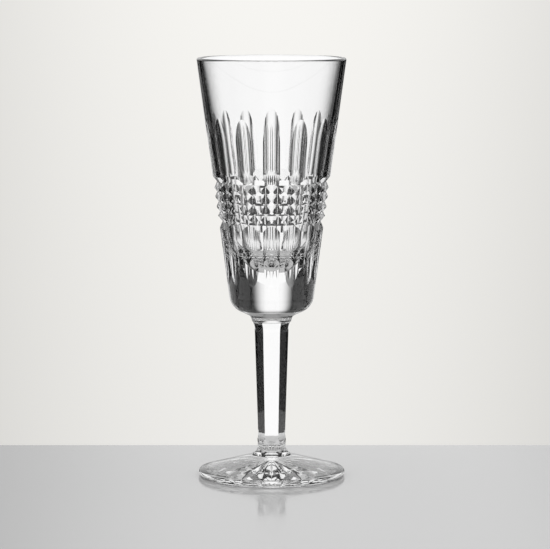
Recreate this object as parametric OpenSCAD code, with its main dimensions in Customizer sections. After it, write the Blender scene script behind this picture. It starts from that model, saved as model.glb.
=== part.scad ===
// Cut-crystal champagne flute: bowl, faceted stem and star-cut foot, each a solid
// of glass, joined face to face. The glass stands on z = 0 and its axis is +Z.

/* [Overall] */
// Height from the table to the top of the lip
height = 185; // [160:1:230]
// Outside diameter at the lip
rim_d = 65.5; // [56:0.5:80]
// Outside diameter of the foot
foot_d = 64.8; // [56:0.1:80]

/* [Bowl] */
// Height above the table at which the bowl sits on the stem
seam_z = 69; // [56:1:84]
// Outside diameter low on the side, just above the rounded heel
heel_d = 37.8; // [34:0.2:46]
// Height of that diameter above the stem
heel_h = 13; // [11:0.5:16]
// Radius of the rounded heel
heel_r = 8; // [5:0.5:9]
// Slope of the underside, in degrees from level
under_slope = 25; // [15:1:35]
// Radius of the cove between the underside and the neck
neck_cove = 3.3; // [1.5:0.1:4]
// Wall thickness at the lip
lip_wall = 2; // [1.4:0.1:2.6]
// Wall thickness at the heel diameter
heel_wall = 4.9; // [4:0.1:6]
// Thickness of solid glass between the stem and the bottom of the inside
base_wall = 23; // [16:0.5:28]

/* [Flutes] */
// Hollow flutes round the bowl, as many above the belt as below it
flutes = 14; // [10:2:18]
// Clear band between the lip and the tips of the upper flutes
clear_band = 25; // [15:1:40]
// Plain band between the heel diameter and the tips of the lower flutes
base_band = 4; // [1:0.5:8]
// Share of the room above and below the belt that the upper flutes get
upper_share = 0.52; // [0.4:0.01:0.6]
// Depth of a flute
flute_depth = 1.4; // [1:0.1:2]
// Hollow radius across a flute
flute_r = 6.5; // [5:0.5:9]
// Radius of the wheel, which rounds the tips of the flutes
flute_wheel = 45; // [20:1:60]

/* [Mitre belt] */
// Rows of blocks in the belt between the flutes
belt_rows = 4; // [2:1:5]
// Height of one row
row_h = 4.4; // [4:0.1:6.5]
// Blocks across one flute and its land
blocks_per_flute = 2; // [1:1:3]
// Angle between the two faces of a mitre
mitre_angle = 120; // [100:1:130]
// Width left uncut on top of a block
block_top = 0.7; // [0.4:0.1:1.2]
// How much deeper the two border mitres are than the cuts that end in them
border_extra = 0.1; // [0.1:0.1:0.5]

/* [Stem] */
// Facets round the stem
facets = 6; // [5:1:10]
// Diameter of the neck where the stem meets the bowl
neck_d = 17.4; // [15:0.2:22]
// Diameter of the flared end that sits on the foot
flare_d = 17.4; // [15:0.2:22]
// Width across the flats at the narrowest, low on the stem
flat_low = 10.4; // [8.5:0.1:11]
// Width across the flats high on the stem
flat_high = 12.8; // [11:0.1:14]
// Diameter of the round ankle between the facets and the flare
ankle_d = 12.2; // [12:0.1:14]
// Radius of the cove between the ankle and the flare
flare_cove = 2; // [1:0.1:3]
// Slope of the flare below that cove, in degrees from upright
flare_slope = 45; // [35:1:55]
// Height above the foot at which a facet starts to run straight
facet_low = 10.4; // [10:0.2:18]
// Distance below the bowl at which a facet stops running straight
facet_high = 5.4; // [3:0.2:12]
// Radius of the wheel, which rounds the ends of the facets
facet_wheel = 22; // [10:1:30]

/* [Foot] */
// Height of the foot where it meets the stem
foot_h = 9.4; // [7:0.1:12]
// Radius of the rounded edge
foot_edge = 1.7; // [1.2:0.1:2.2]
// Width of the flat ring that the glass rests on
rest_w = 2.2; // [1.5:0.1:4]
// Rise of the underside from that ring to the middle
kick = 0.8; // [0.4:0.1:1.6]
// Points of the star cut under the foot
star_points = 20; // [16:2:28]
// Plain band between the tips of the star and the flat ring
star_margin = 0.8; // [0.4:0.1:3]
// Distance from the tip of a ray in to its widest place
star_tip = 7; // [5:0.5:10]
// Angle between the two faces of a ray
star_angle = 112; // [104:1:130]
// Width left uncut between neighbouring rays
star_land = 0.4; // [0.3:0.1:0.8]

/* [Hidden] */
$fn = 120;
past = 2; // how far a cutter reaches past the glass
arc_step = 6; // degrees of turn between two points of a round stretch

// Points round a circle, from one angle to another
function arc(centre, radius, from, to) =
    let (steps = ceil(abs(to - from) / arc_step))
        [for (i = [0 : steps]) let (a = from + (to - from) * i / steps)
            centre + radius * [cos(a), sin(a)]];

rim_r = rim_d / 2;
neck_r = neck_d / 2;
lip_r = lip_wall / 2;
lip_c = [rim_r - lip_r, height - lip_r];

// Side of the bowl: a straight flank, at flank_angle from upright
heel_z = seam_z + heel_h;
flank_angle = atan((rim_r - heel_d / 2) / (lip_c[1] - heel_z));
function flank_r(z) = heel_d / 2 + (z - heel_z) * tan(flank_angle);

// Underside of the bowl: level is under_base at the axis, and it rises outwards
cove_c = [neck_r + neck_cove, seam_z];
under_base = seam_z + neck_cove / cos(under_slope) - cove_c[0] * tan(under_slope);

// Heel: a circle that touches both the underside and the flank
heel_c_r = (flank_r(under_base + heel_r / cos(under_slope)) - heel_r / cos(flank_angle))
    / (1 - tan(flank_angle) * tan(under_slope));
heel_c = [heel_c_r, under_base + heel_c_r * tan(under_slope) + heel_r / cos(under_slope)];

// Inside: a straight cone that ends in a ball-shaped bottom
inner_angle = atan((rim_r - lip_wall - heel_d / 2 + heel_wall) / (lip_c[1] - heel_z));
function inner_r(z) = rim_r - lip_wall - (lip_c[1] - z) * tan(inner_angle);
floor_z = seam_z + base_wall;
ball_r = inner_r(floor_z) * cos(inner_angle) / (1 - sin(inner_angle));
ball_c = [0, floor_z + ball_r];

// Heights of the cut bands: lower tips, belt from bottom to top, upper tips
tips_low = heel_z + base_band;
tips_high = height - clear_band;
belt_h = belt_rows * row_h;
belt_top = tips_high - upper_share * (tips_high - tips_low - belt_h);
belt_bottom = belt_top - belt_h;

// Depth of a mitre that leaves block_top between neighbours this far apart
mitres = flutes * blocks_per_flute;
function mitre_depth(pitch) = (pitch - block_top) / 2 / tan(mitre_angle / 2);
function upright_depth(z) = mitre_depth(2 * PI * flank_r(z) / mitres);
row_depth = mitre_depth(row_h);
border_depth = max(row_depth, upright_depth(belt_top), flute_depth) + border_extra;

// Flutes: the wheel leaves the glass over this height at a tip
flute_runout = sqrt(2 * flute_wheel * flute_depth);

// Stem: facet line from low to high, at facet_angle from upright
facet_low_z = foot_h + facet_low;
facet_high_z = seam_z - facet_high;
facet_angle = atan((flat_high - flat_low) / 2 / (facet_high_z - facet_low_z));
facet_out = [cos(facet_angle), -sin(facet_angle)];

// Flare: a slope from its edge, and a cove that turns the slope upright at the ankle
ankle_r = ankle_d / 2;
flare_r = flare_d / 2;
flare_run = flare_r - ankle_r - flare_cove * (1 - cos(flare_slope));
flare_c = [ankle_r + flare_cove,
    foot_h + flare_run / tan(flare_slope) + flare_cove * sin(flare_slope)];

// Foot: the top is a cone from the stem to a round edge
foot_r = foot_d / 2;
edge_c = [foot_r - foot_edge, foot_edge];
edge_reach = norm([edge_c[0] - flare_r, foot_h - edge_c[1]]);
foot_slope = atan((foot_h - edge_c[1]) / (edge_c[0] - flare_r)) - asin(foot_edge / edge_reach);
rest_in = edge_c[0] - rest_w;

// Star: a ray deepens with the room it has, as far as star_wide, and rises to its tip
function under_z(r) = kick * (1 - r / rest_in);
function star_depth(r) = (2 * PI * r / star_points - star_land) / 2 / tan(star_angle / 2);
star_r = rest_in - star_margin;
star_wide = star_r - star_tip;
star_middle = star_points * star_land / (2 * PI);
star_deep = [star_wide, under_z(star_wide) + star_depth(star_wide)];

// A line of cut glass on the flank, from one height to another at the given radii
module along(r_low, z_low, r_high, z_high) {
    translate([r_low, 0, z_low])
        rotate([0, atan((r_high - r_low) / (z_high - z_low)), 0])
            children();
}

// Section of the bowl before it is cut: up the outside, over the lip, down the inside
module bowl_section() {
    polygon(concat(
        [[0, seam_z]],
        arc(cove_c, neck_cove, 180, 90 + under_slope),
        arc(heel_c, heel_r, under_slope - 90, -flank_angle),
        arc(lip_c, lip_r, 0, 180 - inner_angle),
        arc(ball_c, ball_r, -inner_angle, -90)
    ));
}

// Section of one level mitre round the flank, depth deep
module level_mitre(z, depth) {
    half = (depth + past) * tan(mitre_angle / 2);
    translate([flank_r(z), z]) rotate(-flank_angle)
        polygon([[-depth, 0], [past, -half], [past, half]]);
}

// One upright mitre from the bottom to the top of the belt
module upright_mitre() {
    r_low = flank_r(belt_bottom) - upright_depth(belt_bottom);
    r_high = flank_r(belt_top) - upright_depth(belt_top);
    reach = 2 * border_depth;
    half = reach * tan(mitre_angle / 2);
    along(r_low, belt_bottom, r_high, belt_top)
        linear_extrude(norm([r_high - r_low, belt_top - belt_bottom]))
            polygon([[0, 0], [reach, -half], [reach, half]]);
}

// A round bar that hollows the flank, parallel to it, from one height to another
module flute_run(from, to) {
    bottom = flank_r(from) - flute_depth;
    top = flank_r(to) - flute_depth;
    along(bottom, from, top, to) {
        translate([flute_r, 0, 0]) cylinder(r = flute_r, h = norm([top - bottom, to - from]));
        children();
    }
}

// A quarter of the rim of the flute wheel, which lifts it out of the glass
module wheel_end() {
    translate([flute_wheel, 0, 0]) rotate([90, 0, 0]) rotate([0, 0, 90])
        rotate_extrude(angle = 90) translate([flute_wheel - flute_r, 0]) circle(flute_r, $fn = 60);
}

// One flute from the upper border of the belt up to its tip
module upper_flute() {
    to = tips_high - flute_runout;
    flute_run(belt_top, to)
        translate([0, 0, (to - belt_top) / cos(flank_angle)]) wheel_end();
}

// One flute from the lower border of the belt down to its tip
module lower_flute() {
    flute_run(tips_low + flute_runout, belt_bottom)
        mirror([0, 0, 1]) wheel_end();
}

module bowl() {
    color("aliceblue", 0.5) difference() {
        rotate_extrude() difference() {
            bowl_section();
            for (row = [1 : belt_rows - 1])
                level_mitre(belt_bottom + row * row_h, row_depth);
            level_mitre(belt_bottom, border_depth);
            level_mitre(belt_top, border_depth);
        }
        for (i = [0 : mitres - 1])
            rotate((i + 0.5) * 360 / mitres - 90) upright_mitre();
        for (i = [0 : flutes - 1])
            rotate(i * 360 / flutes - 90) {
                upper_flute();
                lower_flute();
            }
    }
}

// Section of the round blank that the stem's facets are ground on
module stem_blank() {
    polygon(concat(
        [[0, foot_h], [flare_r, foot_h]],
        arc(flare_c, flare_cove, 180 + flare_slope, 180),
        [[neck_r, seam_z], [0, seam_z]]
    ));
}

// One facet: a wheel sinks in low on the stem, runs up and lifts out below the bowl
module facet_cut() {
    low_c = [flat_low / 2, facet_low_z] + facet_wheel * facet_out;
    high_c = [flat_high / 2, facet_high_z] + facet_wheel * facet_out;
    clear_r = neck_d + flare_d;
    rotate([90, 0, 0]) linear_extrude(2 * clear_r, center = true)
        polygon(concat(
            arc(low_c, facet_wheel, 270, 180 - facet_angle),
            arc(high_c, facet_wheel, 180 - facet_angle, 90),
            [[clear_r, high_c[1] + facet_wheel], [clear_r, low_c[1] - facet_wheel]]
        ));
}

module stem() {
    color("aliceblue", 0.5) difference() {
        rotate_extrude() stem_blank();
        for (i = [0 : facets - 1])
            rotate(i * 360 / facets - 90) facet_cut();
    }
}

// Section of the foot, before the star is cut
module foot_section() {
    polygon(concat(
        [[0, kick], [rest_in, 0]],
        arc(edge_c, foot_edge, -90, 90 - foot_slope),
        [[flare_r, foot_h], [0, foot_h]]
    ));
}

// A long V-shaped groove, open downwards, whose bottom line passes through two points
module groove(from, to) {
    long = 2 * foot_r;
    half = foot_h * tan(star_angle / 2);
    translate([to[0], 0, to[1]])
        rotate([0, 90 - atan2(to[1] - from[1], to[0] - from[0]), 0])
            linear_extrude(long, center = true)
                polygon([[0, 0], [foot_h, half], [foot_h, -half]]);
}

// One ray of the star: it deepens outwards, then rises to a point at its tip
module star_ray() {
    intersection() {
        groove([star_middle, under_z(star_middle)], star_deep);
        groove(star_deep, [star_r, under_z(star_r)]);
        translate([0, -foot_r, -foot_h]) cube([foot_r, 2 * foot_r, 2 * foot_h]);
    }
}

module foot() {
    color("aliceblue", 0.5) difference() {
        rotate_extrude() foot_section();
        for (i = [0 : star_points - 1])
            rotate((i + 0.5) * 360 / star_points) star_ray();
    }
}

bowl();
stem();
foot();
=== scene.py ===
# %% [markdown]
# # A cut-crystal champagne flute
# The glass is made hot from three gathers of crystal: a blown bowl, a drawn stem and a
# spun foot. When it is cold, a cutter grinds the pattern with wheels and the cuts are
# polished bright again. This lesson follows the same order: each piece is turned from
# its outline, the wheels are modelled, and what they touch is taken away.
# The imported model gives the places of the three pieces, so it is loaded first.

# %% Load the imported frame
import math

import bmesh
import bpy
import numpy as np
from mathutils import Matrix, Vector


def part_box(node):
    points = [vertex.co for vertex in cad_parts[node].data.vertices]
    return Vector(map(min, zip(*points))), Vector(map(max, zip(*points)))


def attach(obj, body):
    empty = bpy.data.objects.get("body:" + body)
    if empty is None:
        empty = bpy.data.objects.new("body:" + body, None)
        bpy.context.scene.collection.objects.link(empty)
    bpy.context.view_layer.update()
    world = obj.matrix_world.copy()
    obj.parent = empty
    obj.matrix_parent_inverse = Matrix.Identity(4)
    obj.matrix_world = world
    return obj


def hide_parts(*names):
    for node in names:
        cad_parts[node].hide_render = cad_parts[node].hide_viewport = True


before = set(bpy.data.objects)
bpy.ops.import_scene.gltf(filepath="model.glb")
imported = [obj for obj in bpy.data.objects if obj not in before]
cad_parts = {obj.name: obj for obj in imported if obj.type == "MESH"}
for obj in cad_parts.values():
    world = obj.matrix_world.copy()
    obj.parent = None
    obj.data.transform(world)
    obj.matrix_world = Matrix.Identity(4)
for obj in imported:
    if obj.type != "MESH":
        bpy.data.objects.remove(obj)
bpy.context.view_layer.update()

# %% [markdown]
# ## Sizes
# A glass maker works in millimetres, so every size below is in millimetres, and each
# mesh is scaled to metres when it is finished. The heights and the two large diameters
# come from the loaded pieces. The others are the cutter's and the blower's own choices.

# %% Sizes from the frame and from the workshop
MM = 0.001
bowl_low, bowl_high = (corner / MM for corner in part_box("bowl"))
foot_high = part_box("foot")[1] / MM
height, seam_z, foot_h = bowl_high.z, bowl_low.z, foot_high.z
rim_r, foot_r = bowl_high.x, foot_high.x
neck_r = 8.7
print("height %.1f, lip radius %.2f, foot radius %.2f, seams at %.1f and %.1f"
      % (height, rim_r, foot_r, seam_z, foot_h))

# %% [markdown]
# ## Turning a solid
# Bowl, stem and foot are round before they are cut, so each starts as an outline of
# (radius, height) points that is turned about the axis. The Screw modifier could turn it
# as well, but here it is done in code, so that a point on the axis stays a single point.
# That closes the solid: glass must be watertight, or light can't tell where it goes in
# and out. Every solid is made of triangles, so that no face can bend when it is cut.

# %% Arcs and closed solids
ARC_STEP = 2.0  # degrees between the points of a round stretch


def arc(centre, radius, start, end, step=ARC_STEP):
    """Points round a circle from one angle to another, in degrees."""
    count = max(1, math.ceil(abs(end - start) / step))
    turns = [math.radians(start + (end - start) * i / count) for i in range(count + 1)]
    return [(centre[0] + radius * math.cos(t), centre[1] + radius * math.sin(t))
            for t in turns]


def solid(name, verts, faces):
    """A closed object of triangles, in millimetres, with its normals outward."""
    mesh = bpy.data.meshes.new(name)
    mesh.from_pydata([tuple(v) for v in verts], [], faces)
    work = bmesh.new()
    work.from_mesh(mesh)
    bmesh.ops.recalc_face_normals(work, faces=work.faces)
    bmesh.ops.triangulate(work, faces=work.faces)
    work.to_mesh(mesh)
    work.free()
    piece = bpy.data.objects.new(name, mesh)
    bpy.context.scene.collection.objects.link(piece)
    return piece


# %% Solids turned about the axis
SEGMENTS = 288   # steps round the glass
ON_AXIS = 1e-6   # a smaller radius than this is a point on the axis


def turned(name, outline):
    """A closed solid turned about Z from (radius, height) points, axis to axis."""
    verts, rings = [], []
    for radius, level in outline:
        count = SEGMENTS if radius > ON_AXIS else 1
        rings.append((len(verts), count))
        for i in range(count):
            turn = 2 * math.pi * i / SEGMENTS
            verts.append((radius * math.cos(turn), radius * math.sin(turn), level))
    faces = []
    for (low, low_count), (high, high_count) in zip(rings, rings[1:]):
        for i in range(SEGMENTS):
            j = (i + 1) % SEGMENTS
            corners = (low + i % low_count, low + j % low_count,
                       high + j % high_count, high + i % high_count)
            faces.append(list(dict.fromkeys(corners)))
    piece = solid(name, verts, faces)
    print(name, "turned from", len(outline), "points into", len(verts), "vertices")
    return piece


# %% [markdown]
# ## Cutting with wheels
# A cut is whatever the wheel passes through. It could be painted on as a bump, but clear
# glass bends light at its true shape, so each cutter is modelled as a solid and taken
# away with a Boolean modifier. The Manifold solver is used because it is fast and keeps
# the result watertight. The faces that a cutter leaves take the cutter's material slot,
# so ground faces and fire-polished faces can be told apart later. A ring of cuts is made
# in two goes, every second cut at a time, which is quicker than one by one.

# %% Taking cutters away
def carve(piece, cutters, operation="DIFFERENCE"):
    """Applies one Boolean per cutter to the piece, and deletes the cutters."""
    for cutter in cutters:
        boolean = piece.modifiers.new("cut", "BOOLEAN")
        boolean.solver = "MANIFOLD"
        boolean.operation = operation
        boolean.material_mode = "TRANSFER"
        boolean.object = cutter
    graph = bpy.context.evaluated_depsgraph_get()
    result = bpy.data.meshes.new_from_object(piece.evaluated_get(graph))
    piece.modifiers.clear()
    piece.data = result
    for cutter in cutters:
        bpy.data.objects.remove(cutter)
    print("%s has %d faces, goes: %d" % (piece.name, len(result.polygons), len(cutters)))


def turn_copies(piece, count, start=0.0, sets=2):
    """Copies of the piece, spread evenly round the axis from a start angle in degrees.

    They come in a few sets, and neighbours are never in the same set, so that the copies
    in one set stay clear of each other and cut in one go.
    """
    made = []
    for first in range(sets):
        work = bmesh.new()
        for i in range(first, count, sets):
            copy = piece.data.copy()
            copy.transform(Matrix.Rotation(math.radians(start + 360 * i / count), 4, "Z"))
            work.from_mesh(copy)
            bpy.data.meshes.remove(copy)
        mesh = piece.data.copy()
        work.to_mesh(mesh)
        work.free()
        made.append(bpy.data.objects.new(piece.name, mesh))
        bpy.context.scene.collection.objects.link(made[-1])
    bpy.data.objects.remove(piece)
    return made


# %% [markdown]
# ## Three finishes of one crystal
# Blown glass is fire-polished and almost perfect. Ground cuts are polished with acid,
# which leaves a faint ripple. Both are the same crystal, so they share one material
# recipe and differ in two numbers. Where two pieces are fused there is no surface at
# all for light to meet, so the seam faces get a clear material. The three materials are
# made now and filled in later, because the cutters already need their slots.

# %% The three material slots
skin_glass = bpy.data.materials.new("crystal_fire_polished")
cut_glass = bpy.data.materials.new("crystal_cut")
fused_glass = bpy.data.materials.new("crystal_fused_seam")
SKIN, CUT, FUSED = 0, 1, 2


def use_slots(piece, index):
    """Gives the piece the three slots, with all its faces in one of them."""
    for glass in (skin_glass, cut_glass, fused_glass):
        piece.data.materials.append(glass)
    piece.data.polygons.foreach_set("material_index", [index] * len(piece.data.polygons))
    return piece


print("slots:", skin_glass.name, cut_glass.name, fused_glass.name)

# %% [markdown]
# ## The bowl before it is cut
# The side is a straight flank up to a rounded lip. Below, a round heel turns into a
# shallow underside, and a cove flows into the neck. The inside is a straight cone with a
# ball-shaped bottom. The wall grows from 2 mm at the lip downwards, because deep cuts
# need thick glass, and the base is solid for 23 mm. That solid base works as a lens: it
# is white in the middle and black towards both sides. Every arc is worked out so that it
# touches its neighbours without a kink, because a kink would show as a line in the glass.

# %% Flank and heel
lip_r = 1.0                                     # half the wall at the lip
heel_side_r, heel_side_z = 18.9, seam_z + 13    # a point low on the flank
heel_r, under_slope = 8.0, math.radians(25)     # rounding, and rise of the underside
neck_cove = 3.3
lip_c = (rim_r - lip_r, height - lip_r)
flank = math.atan((rim_r - heel_side_r) / (lip_c[1] - heel_side_z))


def flank_r(level):
    """Radius of the straight flank at a height."""
    return heel_side_r + (level - heel_side_z) * math.tan(flank)


cove_c = (neck_r + neck_cove, seam_z)
under_base = seam_z + neck_cove / math.cos(under_slope) - cove_c[0] * math.tan(under_slope)
heel_c_r = ((flank_r(under_base + heel_r / math.cos(under_slope)) - heel_r / math.cos(flank))
            / (1 - math.tan(flank) * math.tan(under_slope)))
heel_c = (heel_c_r,
          under_base + heel_c_r * math.tan(under_slope) + heel_r / math.cos(under_slope))
flank_deg, under_deg = math.degrees(flank), math.degrees(under_slope)
print("flank %.2f degrees from upright, heel centred at radius %.2f and height %.2f"
      % (flank_deg, *heel_c))

# %% Inside of the bowl
heel_wall, base_wall = 4.9, 23.0    # wall low on the flank, and solid glass in the base
inner = math.atan((rim_r - 2 * lip_r - heel_side_r + heel_wall) / (lip_c[1] - heel_side_z))
floor_z = seam_z + base_wall
floor_r = rim_r - 2 * lip_r - (lip_c[1] - floor_z) * math.tan(inner)
ball_r = floor_r * math.cos(inner) / (1 - math.sin(inner))
ball_c = (0.0, floor_z + ball_r)
inner_deg = math.degrees(inner)
print("inside %.2f degrees from upright, ball radius %.2f" % (inner_deg, ball_r))

# %% [markdown]
# ## Level mitres
# A mitre is a V-shaped groove. The level ones run all the way round, so instead of being
# cut they are part of the turned outline: the flank simply dips in and out. Four rows of
# blocks need three mitres between them and a deeper border above and below, where the
# flutes will end. The wide border reaches into its neighbour, so the outline goes over
# the ridge between the two and not up to both lips, which would fold the surface over
# itself.

# %% Depths and levels of the cuts
flutes, flute_depth = 14, 1.4
clear_band, base_band = 25.0, 4.0    # uncut glass under the lip and above the heel
upper_share = 0.52                   # share of the flutes' height that is above the belt
belt_rows, row_h = 4, 4.4
block_top = 0.7                      # width left uncut on top of a block
border_extra = 0.1                   # a border mitre is deeper than all else by this
mitre_angle = 120
half_v = math.radians(mitre_angle / 2)
mitres = 2 * flutes
tips_low, tips_high = heel_side_z + base_band, height - clear_band
belt_h = belt_rows * row_h
belt_top = tips_high - upper_share * (tips_high - tips_low - belt_h)
belt_bottom = belt_top - belt_h


def mitre_depth(pitch):
    """Depth of a V that leaves block_top uncut between neighbours this far apart."""
    return (pitch - block_top) / 2 / math.tan(half_v)


def upright_depth(level):
    """Depth of the upright mitres at a height."""
    return mitre_depth(2 * math.pi * flank_r(level) / mitres)


row_depth = mitre_depth(row_h)
border_depth = max(row_depth, upright_depth(belt_top), flute_depth) + border_extra
print("belt from %.1f to %.1f, rows %.2f deep, borders %.2f deep"
      % (belt_bottom, belt_top, row_depth, border_depth))


# %% Outline of the belt
def under_flank(level, along=0.0, depth=0.0):
    """The outline point a way along the flank from a height, and this deep under it."""
    return (flank_r(level) + along * math.sin(flank) - depth * math.cos(flank),
            level + along * math.cos(flank) + depth * math.sin(flank))


mitre_levels = [belt_bottom + row * row_h for row in range(belt_rows + 1)]
mitre_depths = [border_depth] + [row_depth] * (belt_rows - 1) + [border_depth]
half_widths = [depth * math.tan(half_v) for depth in mitre_depths]
row_on_flank = row_h / math.cos(flank)
belt = [under_flank(belt_bottom, -half_widths[0])]
for row in range(belt_rows):
    belt.append(under_flank(mitre_levels[row], 0, mitre_depths[row]))
    overlap = (half_widths[row] + half_widths[row + 1] - row_on_flank) / 2
    if overlap > 0:
        belt.append(under_flank(mitre_levels[row], half_widths[row] - overlap,
                                overlap / math.tan(half_v)))
    else:
        belt += [under_flank(mitre_levels[row], half_widths[row]),
                 under_flank(mitre_levels[row + 1], -half_widths[row + 1])]
belt += [under_flank(belt_top, 0, border_depth), under_flank(belt_top, half_widths[-1])]
print("the belt is", len(belt), "points of the outline")

# %% Turn the bowl
bowl_outline = [(0, seam_z)]
bowl_outline += arc(cove_c, neck_cove, 180, 90 + under_deg)
bowl_outline += arc(heel_c, heel_r, under_deg - 90, -flank_deg)
bowl_outline += belt
bowl_outline += arc(lip_c, lip_r, 0, 180 - inner_deg, step=6)
bowl_outline += arc(ball_c, ball_r, -inner_deg, ARC_STEP - 90)
bowl_outline += [(0, floor_z)]
bowl = use_slots(turned("bowl_crystal", bowl_outline), SKIN)

# %% [markdown]
# ## Upright mitres
# The wheel that cuts an upright mitre runs straight up the flank between the two border
# mitres. Its cut gets shallower as the bowl narrows, so that the same width stays uncut
# on top of every block. The cutter is a three-sided bar in steps of half a row, which
# keeps the faces of the V short and simple where the level cuts notch them. Like the
# other wheels and grooves, it is a solid through rings of equally many points.

# %% Solids through rings
def through_rings(name, rings):
    """A closed solid through rings of equally many points, with a flat face at each end."""
    count = len(rings[0])
    last = count * (len(rings) - 1)
    faces = [(s + i, s + (i + 1) % count, s + count + (i + 1) % count, s + count + i)
             for s in range(0, last, count) for i in range(count)]
    faces += [tuple(reversed(range(count))), tuple(range(last, last + count))]
    return solid(name, [point for ring in rings for point in ring], faces)


# %% Cut the blocks of the belt
LIP_CLEAR = 0.2  # how far a cutter stands out of the glass, so that it cuts cleanly


def v_ring(level):
    """Bottom and two lips of the V at a height, the lips just clear of the flank."""
    depth = upright_depth(level)
    half = (depth + LIP_CLEAR) * math.tan(half_v)
    lip = flank_r(level) + LIP_CLEAR
    return [(flank_r(level) - depth, 0, level), (lip, half, level), (lip, -half, level)]


bar = through_rings("upright", [v_ring(belt_bottom + i * row_h / 2)
                                for i in range(2 * belt_rows + 1)])
carve(bowl, turn_copies(use_slots(bar, CUT), mitres, start=180 / mitres - 90))

# %% [markdown]
# ## Hollow flutes
# From each border of the belt 14 hollow flutes run away, up towards the lip and down
# towards the heel. The wheel has a rounded rim. It starts in the border mitre, runs
# along the flank and lifts out, so the cutter is a round bar that curves away from the
# glass at one end, and its other end stands in the mitre where it touches nothing.

# %% The track of the wheel
flute_r, flute_wheel = 6.5, 45.0    # rounding of the wheel's rim, and the wheel itself
lift_turn, lift_step = 40, 2        # degrees the wheel is followed as it lifts out
rim_points = 120
runout = math.sqrt(2 * flute_wheel * flute_depth)


def wheel_track(name, start, end):
    """A round bar that hollows the flank from one height to another and then lifts out."""
    bottom = Vector((flank_r(start) - flute_depth, start))
    top = Vector((flank_r(end) - flute_depth, end))
    along = (top - bottom).normalized()
    outward = Vector((along.y, -along.x)) if along.y > 0 else Vector((-along.y, along.x))
    stops = [(bottom, 0)] + [(top, turn) for turn in range(0, lift_turn + 1, lift_step)]
    rings = []
    for place, turn in stops:
        lift = math.radians(turn)
        face = outward * math.cos(lift) - along * math.sin(lift)
        centre = place + flute_wheel * outward - (flute_wheel - flute_r) * face
        ring = []
        for i in range(rim_points):
            t = 2 * math.pi * i / rim_points
            flat = centre + flute_r * math.cos(t) * face
            ring.append((flat.x, flute_r * math.sin(t), flat.y))
        rings.append(ring)
    return use_slots(through_rings(name, rings), CUT)


# %% Cut the flutes
for name, start, end in (("upper", belt_top, tips_high - runout),
                         ("lower", belt_bottom, tips_low + runout)):
    carve(bowl, turn_copies(wheel_track(name, start, end), flutes, start=-90))

# %% [markdown]
# ## The stem
# The stem is drawn out of the hot bowl and spreads onto the foot in a cove. Six facets
# are then ground along it, a little nearer to the axis at the ankle than at the bowl. It
# could be a six-sided cone from the start, but the round blank has to show at the flare,
# so it is turned first and ground afterwards.

# %% Turn the stem
ankle_r, flare_cove, flare_slope = 6.1, 2.0, math.radians(45)
flare_run = neck_r - ankle_r - flare_cove * (1 - math.cos(flare_slope))
flare_c = (ankle_r + flare_cove,
           foot_h + flare_run / math.tan(flare_slope) + flare_cove * math.sin(flare_slope))
stem_outline = [(0, foot_h), (neck_r, foot_h)] + arc(flare_c, flare_cove, 225, 180)
stem_outline += [(neck_r, seam_z), (0, seam_z)]
stem = use_slots(turned("stem_crystal", stem_outline), SKIN)

# %% [markdown]
# ## Facets of the stem
# The facet wheel is large. It sinks in, runs along the stem and comes out again, so its
# rim leaves a rounded run-out at both ends: below, each flat fades into the round flare,
# and above, it opens out towards the bowl. The cutter is the space that the wheel passes
# through. It is wider than the stem, so neighbours overlap, and each facet is a go of
# its own.

# %% Grind the facets
facets, facet_wheel = 6, 22.0
flat_low, flat_high = 10.4 / 2, 12.8 / 2          # from the axis to a flat, at its ends
low_z, high_z = foot_h + 10.4, seam_z - 5.4       # where the wheel starts and stops
slab_half, slab_out = 2 * neck_r, 4 * neck_r      # well clear of the stem
facet_lean = math.atan((flat_high - flat_low) / (high_z - low_z))
facet_out = Vector((math.cos(facet_lean), -math.sin(facet_lean)))
low_c = Vector((flat_low, low_z)) + facet_wheel * facet_out
high_c = Vector((flat_high, high_z)) + facet_wheel * facet_out
face_deg = 180 - math.degrees(facet_lean)
facet_side = arc(low_c, facet_wheel, 270, face_deg) + arc(high_c, facet_wheel, face_deg, 90)
facet_side += [(slab_out, high_c.y + facet_wheel), (slab_out, low_c.y - facet_wheel)]
slab = through_rings("facet", [[(r, side, z) for r, z in facet_side]
                               for side in (-slab_half, slab_half)])
carve(stem, turn_copies(use_slots(slab, CUT), facets, start=-90, sets=facets))

# %% [markdown]
# ## Where the stem is fused to the bowl
# The facets run up to the bowl, so the top of the stem has six sides while the neck of
# the bowl is round. A narrow ledge is left outside each facet, and it shows as a dark
# line. Only the six-sided middle is fused. A copy of the stem, raised by a hundredth of
# a millimetre, marks that middle on the bowl as a face of its own.

# %% Mark the fused middle
sunk = 0.01
mark = bpy.data.objects.new("mark", stem.data.copy())
bpy.context.scene.collection.objects.link(mark)
mark.data.transform(Matrix.Translation((0, 0, sunk)))
mark.data.polygons.foreach_set("material_index", [FUSED] * len(mark.data.polygons))
carve(bowl, [mark])

# %% [markdown]
# ## The foot
# The foot is spun flat from a third gather: a low cone on top, a rounded edge, and a
# flat ring underneath to stand on. The underside rises a little towards the middle, so
# that the glass never rocks. It is turned like the other two, and the cone is the line
# that touches the rounded edge.

# %% Turn the foot
foot_edge, rest_w, kick = 1.7, 2.2, 0.8    # rounding, half of the ring, rise in the middle
edge_c = (foot_r - foot_edge, foot_edge)
rise, spread = foot_h - edge_c[1], edge_c[0] - neck_r
foot_slope = math.atan(rise / spread) - math.asin(foot_edge / math.hypot(rise, spread))
rest_in = edge_c[0] - rest_w
foot_outline = [(0, kick), (rest_in, 0)]
foot_outline += arc(edge_c, foot_edge, -90, 90 - math.degrees(foot_slope), step=5)
foot_outline += [(neck_r, foot_h), (0, foot_h)]
foot = use_slots(turned("foot_crystal", foot_outline), SKIN)

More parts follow.
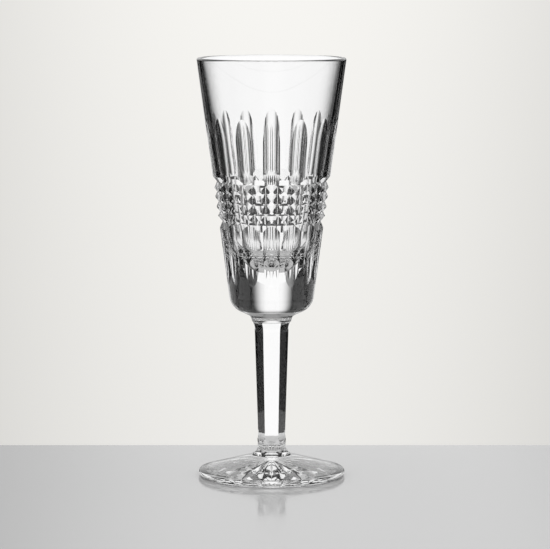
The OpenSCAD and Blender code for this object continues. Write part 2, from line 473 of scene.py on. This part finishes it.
# %% [markdown]
# ## The star under the foot
# A star of 20 rays is cut into the underside and sparkles through the clear cone. Each
# ray is a V that gets deeper from the middle outwards, is widest near the edge and runs
# out in a tip. One groove deepens and one runs out, and the ray is what the two have in
# common, so its ends come out sharp without being drawn. A block keeps the ray on one
# side of the axis.

# %% One ray of the star
star_points, star_margin, star_tip = 20, 0.8, 7.0    # tip: length beyond the widest place
star_land, star_angle = 0.4, 112                     # left between rays, and the V's angle
half_star = math.radians(star_angle / 2)
star_r = rest_in - star_margin
star_wide = star_r - star_tip
star_middle = star_points * star_land / (2 * math.pi)


def under_z(radius):
    """Height of the uncut underside at a radius."""
    return kick * (1 - radius / rest_in)


def groove(start, end):
    """A long V-shaped bar, open downwards, whose top edge passes through two points."""
    rise_angle = math.atan2(end[1] - start[1], end[0] - start[0])
    half, long = foot_h * math.tan(half_star), 2 * foot_r
    place = Matrix.Translation((end[0], 0, end[1])) @ Matrix.Rotation(-rise_angle, 4, "Y")
    side = ((0, 0), (half, -foot_h), (-half, -foot_h))
    return through_rings("groove", [[place @ Vector((x, y, z)) for y, z in side]
                                    for x in (-long, long)])


def block(name, low, high):
    """A box between two corners."""
    corners = [(x, y, z) for x in (low[0], high[0])
               for y in (low[1], high[1]) for z in (low[2], high[2])]
    return solid(name, corners, [(0, 1, 3, 2), (4, 6, 7, 5), (0, 4, 5, 1),
                                 (2, 3, 7, 6), (0, 2, 6, 4), (1, 5, 7, 3)])


# %% Cut the star
wide_pitch = 2 * math.pi * star_wide / star_points
deep = (star_wide, under_z(star_wide) + (wide_pitch - star_land) / 2 / math.tan(half_star))
ray = groove((star_middle, under_z(star_middle)), deep)
one_side = block("outward", (0, -foot_r, -foot_h), (foot_r, foot_r, foot_h))
carve(ray, [groove(deep, (star_r, under_z(star_r))), one_side], "INTERSECT")
carve(foot, turn_copies(use_slots(ray, CUT), star_points, start=180 / star_points))

# %% [markdown]
# ## Finishing the meshes
# Each solid is scaled to metres. Its faces are smooth where the surface curves and sharp
# where two cuts meet, because a cutter's edges are crisp. A bevel on every edge would do
# that too, but it would blunt cuts that are polished sharp. The discs where the pieces
# are fused go to the clear slot. Then each piece takes over from its CAD node.

# %% Scale, smooth and hand over
CRISP = math.radians(9)     # faces that meet at more than this keep a sharp edge
LEVEL, CLOSE = 0.999, 1e-3  # a normal this upright is level; this close in mm is at a seam


def face_values(mesh, name, per_face, kind=float):
    """One row of numbers for each face of the mesh."""
    values = np.empty(len(mesh.polygons) * per_face, dtype=kind)
    mesh.polygons.foreach_get(name, values)
    return values.reshape(-1, per_face)


def finish_piece(piece, node, seams=()):
    """Scales, smooths and hands over a piece; its level faces at the seams are fused."""
    mesh = piece.data
    heights = face_values(mesh, "center", 3)[:, 2]
    level = abs(face_values(mesh, "normal", 3)[:, 2]) > LEVEL
    slots = face_values(mesh, "material_index", 1, np.int32)[:, 0]
    for seam in seams:
        slots[(abs(heights - seam) < CLOSE) & level] = FUSED
    mesh.polygons.foreach_set("material_index", slots)
    mesh.transform(Matrix.Scale(MM, 4))
    mesh.polygons.foreach_set("use_smooth", [True] * len(mesh.polygons))
    mesh.set_sharp_from_angle(angle=CRISP)
    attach(piece, "root")
    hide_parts(node)
    print(piece.name, "faces:", len(mesh.polygons), "fused:", int((slots == FUSED).sum()))


finish_piece(bowl, "bowl")
finish_piece(stem, "stem", seams=(seam_z, foot_h))
finish_piece(foot, "foot", seams=(foot_h,))

# %% [markdown]
# ## Crystal
# Crystal is clear, bends light strongly (an index near 1.54) and has no colour of its
# own. What makes it look real is that no surface is perfect: blown skin has long, very
# low waves, and polished cuts keep a fine ripple from the wheel. They are far too low to
# model in the mesh, so they are bumps. One node group makes those heights and a trace of
# uneven polish, and each material sets how much it shows.

# %% Nodes with their inputs
def feed(tree, socket, value):
    """Sets an input to a number, or links another node's output to it."""
    if isinstance(value, bpy.types.NodeSocket):
        tree.links.new(value, socket)
    else:
        socket.default_value = value


def node(tree, kind, label, inputs=None, **settings):
    """A labelled node with its settings, and with a number or an output in each input."""
    made = tree.nodes.new(kind)
    made.label = label
    for key, value in settings.items():
        setattr(made, key, value)
    for socket, value in (inputs or {}).items():
        feed(tree, made.inputs[socket], value)
    return made


def ramp(tree, label, value, start, end, shape="SMOOTHSTEP"):
    """A step from one value to another; start and end are (input, output) pairs."""
    made = node(tree, "ShaderNodeMapRange", label, {
        "Value": value, "From Min": start[0], "To Min": start[1],
        "From Max": end[0], "To Max": end[1]}, interpolation_type=shape)
    return made.outputs["Result"]


# %% The hand-finished surface group
surface = bpy.data.node_groups.new("hand_finished_surface", "ShaderNodeTree")
for label, default in (("Wave size", 90.0), ("Ripple size", 700.0), ("Ripple share", 0.3)):
    socket = surface.interface.new_socket(label, in_out="INPUT", socket_type="NodeSocketFloat")
    socket.default_value = default
for label in ("Height", "Polish"):
    surface.interface.new_socket(label, in_out="OUTPUT", socket_type="NodeSocketFloat")
inside = surface.nodes.new("NodeGroupInput")
on_piece = node(surface, "ShaderNodeTexCoord", "on the piece").outputs["Object"]
waves = node(surface, "ShaderNodeTexNoise", "waves in the skin", {
    "Vector": on_piece, "Scale": inside.outputs["Wave size"], "Detail": 1.0})
ripple = node(surface, "ShaderNodeTexNoise", "ripple of the wheel", {
    "Vector": on_piece, "Scale": inside.outputs["Ripple size"], "Detail": 2.0})
relief = node(surface, "ShaderNodeMix", "waves and ripple", {
    "Factor": inside.outputs["Ripple share"],
    2: waves.outputs["Fac"], 3: ripple.outputs["Fac"]})
polish = ramp(surface, "uneven polish", ripple.outputs["Fac"],
              (0.35, 0.0), (0.75, 0.012), shape="LINEAR")
node(surface, "NodeGroupOutput", "out", {"Height": relief.outputs[0], "Polish": polish})
print(surface.name, "has", len(surface.nodes), "nodes")


# %% Put it in the two kinds of glass
def crystal(glass, ripple_share, bump_height):
    """Clear crystal with the hand-finished surface, bump_height in metres."""
    glass.use_nodes = True
    tree = glass.node_tree
    finish = node(tree, "ShaderNodeGroup", "hand-finished surface",
                  {"Ripple share": ripple_share}, node_tree=surface)
    bump = node(tree, "ShaderNodeBump", "surface relief", {
        "Strength": 1.0, "Distance": bump_height, "Height": finish.outputs["Height"]})
    for name, value in (("Base Color", (1, 1, 1, 1)), ("Metallic", 0.0), ("IOR", 1.54),
                        ("Transmission Weight", 1.0),
                        ("Roughness", finish.outputs["Polish"]),
                        ("Normal", bump.outputs["Normal"])):
        feed(tree, tree.nodes["Principled BSDF"].inputs[name], value)
    print(glass.name, "ripple share", ripple_share, "bump", bump_height * 1e6, "microns")


crystal(skin_glass, ripple_share=0.02, bump_height=0.00002)
crystal(cut_glass, ripple_share=0.15, bump_height=0.00003)
fused_glass.use_nodes = True
fused_glass.node_tree.nodes["Principled BSDF"].inputs["Alpha"].default_value = 0.0

# %% [markdown]
# ## The table
# Glass shows what stands round it, so the setting matters as much as the material. The
# glass stands on a smooth pale table that ends a hand's width behind it. A slight gloss
# gives the mirror image under the foot, which gets softer the further a part is from the
# table. A pool of light is painted into the table's colour: the paint is palest near the
# glass and darker at both sides. A spot lamp could do that, but it would also shine in
# the glass, so the light stays plain and the pool and its shade are painted on the table.

# %% Table top
table_back, table_front, table_side, table_thick = 0.077, -3.0, 3.0, 0.03    # metres
table = block("table", (-table_side, table_front, -table_thick), (table_side, table_back, 0))
table_top = bpy.data.materials.new("pale_table")
table_top.use_nodes = True
table.data.materials.append(table_top)
print("the table ends", round(table_back / MM), "mm behind the glass")


# %% Pale grey with a painted pool of light, darker at the sides
def math_node(tree, label, operation, *values):
    """The output of a Math node that is fed by numbers or outputs."""
    made = node(tree, "ShaderNodeMath", label, dict(enumerate(values)), operation=operation)
    return made.outputs[0]


paint = table_top.node_tree
spot = node(paint, "ShaderNodeTexCoord", "place on the table")
across = node(paint, "ShaderNodeSeparateXYZ", "its parts", {0: spot.outputs["Object"]})
pool_middle = 0.03    # metres to the right of the glass
from_middle = math_node(paint, "how far aside", "SUBTRACT", across.outputs["X"], pool_middle)
aside = math_node(paint, "to either side", "ABSOLUTE", from_middle)
# Painted light: the grey falls from 0.645 by the glass to 0.25 at both sides. This is a pool
# of light and its shade, painted into the table's colour.
grey = ramp(paint, "darker at the sides", aside, (0.05, 0.645), (0.2, 0.25))
painted_light_tone = node(paint, "ShaderNodeCombineColor", "grey of the table",
            {"Red": grey, "Green": grey, "Blue": grey})
for name, value in (("Base Color", painted_light_tone.outputs[0]), ("Roughness", 0.1),
                    ("Specular IOR Level", 0.3)):
    feed(paint, paint.nodes["Principled BSDF"].inputs[name], value)
print(table_top.name, "has", len(paint.nodes), "nodes")

# %% [markdown]
# ## Light for clear glass
# A glass can't be lit like a solid thing: light from the front goes straight through.
# In a studio a bright panel stands behind it, with dark cards beside the panel. The panel
# makes the middle of the glass white, and each edge, which bends light sideways, shows a
# dark card as a black outline. Lamps and cards could be modelled as objects, but then
# they would show in other views. So the world holds them: a panel at every quarter of a
# turn with dark cards between, and the glass is drawn in the same way from four sides.

# %% Directions and panels
card, panel = 0.005, 1.0    # how much light comes from each
panel_count, panel_shift = 4, 0.1
world = bpy.data.worlds.new("light_tent")
bpy.context.scene.world = world
world.use_nodes = True
tent = world.node_tree
direction = node(tent, "ShaderNodeTexCoord", "direction of the ray")
parts = node(tent, "ShaderNodeSeparateXYZ", "its parts", {0: direction.outputs["Generated"]})
up = parts.outputs["Z"]
azimuth = math_node(tent, "azimuth", "ARCTAN2", parts.outputs["X"], parts.outputs["Y"])
turned_left = math_node(tent, "a little to the left", "MULTIPLY_ADD",
                        azimuth, panel_count, panel_shift)
quarters = math_node(tent, "four panels round", "COSINE", turned_left)
panels = ramp(tent, "panels and cards", quarters, (0.1, card), (0.97, panel))
print("a panel every", round(360 / panel_count), "degrees")

# %% [markdown]
# ## Mirrored light and bent light
# Light that is only bent in the glass sees the panels and cards, a dark ceiling, and a
# pale floor for views from above. Light that is mirrored on its way sees a white ceiling
# and weaker panels, because the shine on the skin adds to what comes through, and the
# two together make the clear band white. Heights here are the upward part of a ray's
# direction: 0 is level, and 1 is straight up.

# %% The two rooms that the glass sees
above = ramp(tent, "white above the cards", up, (0.0, 0.0), (0.1, 1.0))
overhead = ramp(tent, "dimmer overhead", up, (0.4, 1.0), (0.8, 0.5))
weaker = math_node(tent, "dimmer panels", "MULTIPLY", panels, 0.5)
white_top = math_node(tent, "panels and top", "MAXIMUM", weaker, above)
mirrored_room = math_node(tent, "with a white top", "MULTIPLY", white_top, overhead)

below = ramp(tent, "pale below the cards", up, (-0.38, 0.85), (-0.2, 0.0))
ceiling = ramp(tent, "dark overhead", up, (0.35, 1.0), (0.6, 0.25))
pale_floor = math_node(tent, "panels and below", "MAXIMUM", panels, below)
bent_room = math_node(tent, "with a dark top", "MULTIPLY", pale_floor, ceiling)
print("two rooms in", len(tent.nodes), "nodes")

# %% [markdown]
# ## Backdrop
# What the camera sees directly is a backdrop of warm pale paper, lighter above and a
# little darker beside each panel. It is never brighter than white.

# %% Pale paper behind the glass
darkest = 0.75    # share of the paper's light that is left where it is darkest
upward = math_node(tent, "lighter above", "MULTIPLY_ADD", up, 0.52, 0.94)
paper = math_node(tent, "at most white", "MINIMUM", upward, 1.0)
twice_panels = math_node(tent, "times eight", "MULTIPLY", azimuth, 2 * panel_count)
eighths = math_node(tent, "eight bays round", "COSINE", twice_panels)
sideways = math_node(tent, "darker beside", "MULTIPLY_ADD", eighths, 0.6, 0.4)
shading = math_node(tent, "never dark", "MAXIMUM", sideways, darkest)
backdrop = math_node(tent, "backdrop", "MULTIPLY", paper, shading)
print("the backdrop falls to", darkest, "of its light beside a panel")

# %% [markdown]
# ## One world for every kind of ray
# Light Path tells the kinds of ray apart. Camera rays get the backdrop. Rays that are
# bent or mirrored get one of the two rooms. All others, and those that have met the
# table before, get a plain even light, so the table is lit evenly whatever the glass
# sees.

# %% Choose by the kind of ray
def choose(label, when, yes, no):
    """One of two values, by a ray's kind."""
    return node(tent, "ShaderNodeMix", label, {"Factor": when, 2: no, 3: yes}).outputs[0]


plain_light = 0.75
path = node(tent, "ShaderNodeLightPath", "kind of ray").outputs
mirrored = math_node(tent, "mirrored on the way", "GREATER_THAN", path["Glossy Depth"], 0.5)
room = choose("mirrored or only bent", mirrored, mirrored_room, bent_room)
turned_ray = math_node(tent, "bent or mirrored", "MAXIMUM",
                       path["Is Transmission Ray"], path["Is Glossy Ray"])
direct = math_node(tent, "not by way of the table", "LESS_THAN", path["Diffuse Depth"], 0.5)
in_room = math_node(tent, "turned and direct", "MULTIPLY", turned_ray, direct)
strength = choose("glass or plain light", in_room, room, plain_light)
strength = choose("camera or the rest", path["Is Camera Ray"], backdrop, strength)

# %% Warm paper, neutral panels
warmth = choose("warm paper, neutral panels", path["Is Camera Ray"], 1.0, 0.0)
tint = node(tent, "ShaderNodeCombineColor", "colour of the light")
for channel, held_back in (("Red", 0.0), ("Green", 0.012), ("Blue", 0.045)):
    kept = math_node(tent, channel + " kept", "MULTIPLY_ADD", warmth, -held_back, 1.0)
    feed(tent, tint.inputs[channel], math_node(tent, channel, "MULTIPLY", strength, kept))
feed(tent, tent.nodes["Background"].inputs["Color"], tint.outputs[0])
feed(tent, tent.nodes["Background"].inputs["Strength"], 1.0)
print(world.name, "has", len(tent.nodes), "nodes")

# %% [markdown]
# ## Camera
# The glass is seen with a long lens from a little over a metre, slightly above its lip,
# so the lip is a thin ellipse and the foot a wider one. A short lens nearby could show it
# as large, but the foot would then be seen much more from above than the lip.

# %% Place the camera
lens, looking_down = 194.4, 6.6    # millimetres, and degrees under level
camera = bpy.data.objects.new("camera", bpy.data.cameras.new("camera"))
bpy.context.scene.collection.objects.link(camera)
camera.data.lens = lens
camera.data.sensor_width = 36.0
camera.location = (0.0015, -1.3, 0.24)
camera.rotation_euler = (math.radians(90 - looking_down), 0, 0)
bpy.context.scene.camera = camera
bpy.context.scene.view_settings.view_transform = "Standard"
print("camera at", [round(v, 4) for v in camera.location], "with a %.0f mm lens" % lens)
